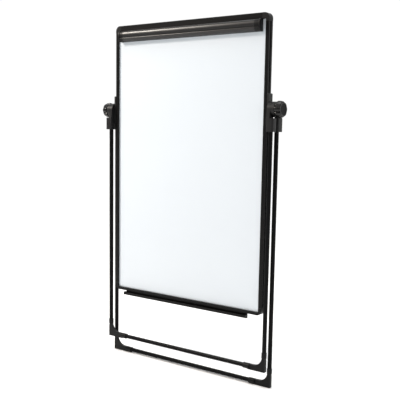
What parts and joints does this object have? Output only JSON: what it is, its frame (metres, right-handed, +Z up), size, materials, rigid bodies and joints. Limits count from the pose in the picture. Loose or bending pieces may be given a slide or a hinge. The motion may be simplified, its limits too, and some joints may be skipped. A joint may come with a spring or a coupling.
{
  "type": "flipchart easel",
  "caption": "Folding flipchart easel: a framed white writing board with pad clamp and pen tray, carried on side pivots between two U-shaped tube frames.",
  "frame": {"origin": "centre of the bounding box at the ground, under the folded easel", "axes": "+Z up, +X to the right along the board's width when facing it, the writing face looks along -Y"},
  "size_m": [0.772, 0.0618, 1.241],
  "materials": {
    "frame_tube": "satin black powder coat",
    "rail": "satin black anodised",
    "black_plastic": "fine moulded texture",
    "grey_plastic": "fine moulded texture",
    "white_surface": "glossy white lacquer",
    "core": "raw fibreboard",
    "backing": "plain mill finish",
    "zinc_steel": "zinc plated",
    "brass": "machined",
    "rubber": "matte"
  },
  "bodies": {
    "rear_frame": {"rear_leg_left": "frame_tube", "rear_leg_right": "frame_tube", "rear_crossbar": "frame_tube", "rear_foot_left": "black_plastic", "rear_foot_right": "black_plastic", "rear_head_left": "black_plastic", "rear_head_right": "black_plastic"},
    "front_frame": {"front_leg_left": "frame_tube", "front_leg_right": "frame_tube", "front_crossbar": "frame_tube", "front_foot_left": "black_plastic", "front_foot_right": "black_plastic", "front_head_left": "black_plastic", "front_head_right": "black_plastic"},
    "carriage": {"slider_bracket_left": "black_plastic", "slider_bracket_right": "black_plastic", "pivot_bolt_left": "zinc_steel", "pivot_bolt_right": "zinc_steel", "pivot_washer_left": "zinc_steel", "pivot_washer_right": "zinc_steel"},
    "board": {"writing_surface": "white_surface", "panel_core": "core", "back_sheet": "backing", "side_rail_left": "rail", "side_rail_right": "rail", "top_rail": "rail", "bottom_rail": "rail", "corner_cap_top_left": "black_plastic", "corner_cap_top_right": "black_plastic", "corner_cap_bottom_left": "black_plastic", "corner_cap_bottom_right": "black_plastic", "clamp_base": "rail", "clamp_bracket_left": "black_plastic", "clamp_bracket_right": "black_plastic", "clamp_pin_left": "zinc_steel", "clamp_pin_right": "zinc_steel", "pen_tray": "rail", "pen_tray_end_left": "black_plastic", "pen_tray_end_right": "black_plastic", "tray_screw_left": "zinc_steel", "tray_screw_right": "zinc_steel"},
    "pad_clamp": {"clamp_jaw": "rail", "clamp_jaw_end_left": "black_plastic", "clamp_jaw_end_right": "black_plastic", "clamp_rubber": "rubber"},
    "knob_left": {"knob_left": "black_plastic", "knob_insert_left": "brass", "knob_cap_left": "grey_plastic"},
    "knob_right": {"knob_right": "black_plastic", "knob_insert_right": "brass", "knob_cap_right": "grey_plastic"}
  },
  "joints": [
    {"name": "front_frame_fold", "type": "hinge", "parent": "rear_frame", "child": "front_frame", "pos_m": [0, -0.0016, 0.935], "axis": [-1, 0, 0], "range_deg": [0, 50]},
    {"name": "board_tilt", "type": "hinge", "parent": "rear_frame", "child": "carriage", "pos_m": [0, -0.0016, 0.935], "axis": [-1, 0, 0], "range_deg": [0, 120]},
    {"name": "board_height", "type": "slide", "parent": "carriage", "child": "board", "axis": [0, 0, 1], "range_m": [-0.1, 0.5]},
    {"name": "pad_clamp_open", "type": "hinge", "parent": "board", "child": "pad_clamp", "pos_m": [0, -0.0171, 1.2165], "axis": [-1, 0, 0], "range_deg": [0, 40]},
    {"name": "knob_left_turn", "type": "hinge", "parent": "carriage", "child": "knob_left", "pos_m": [-0.3655, -0.0016, 0.935], "axis": [-1, 0, 0], "continuous": true},
    {"name": "knob_right_turn", "type": "hinge", "parent": "carriage", "child": "knob_right", "pos_m": [0.3655, -0.0016, 0.935], "axis": [1, 0, 0], "continuous": true}
  ]
}
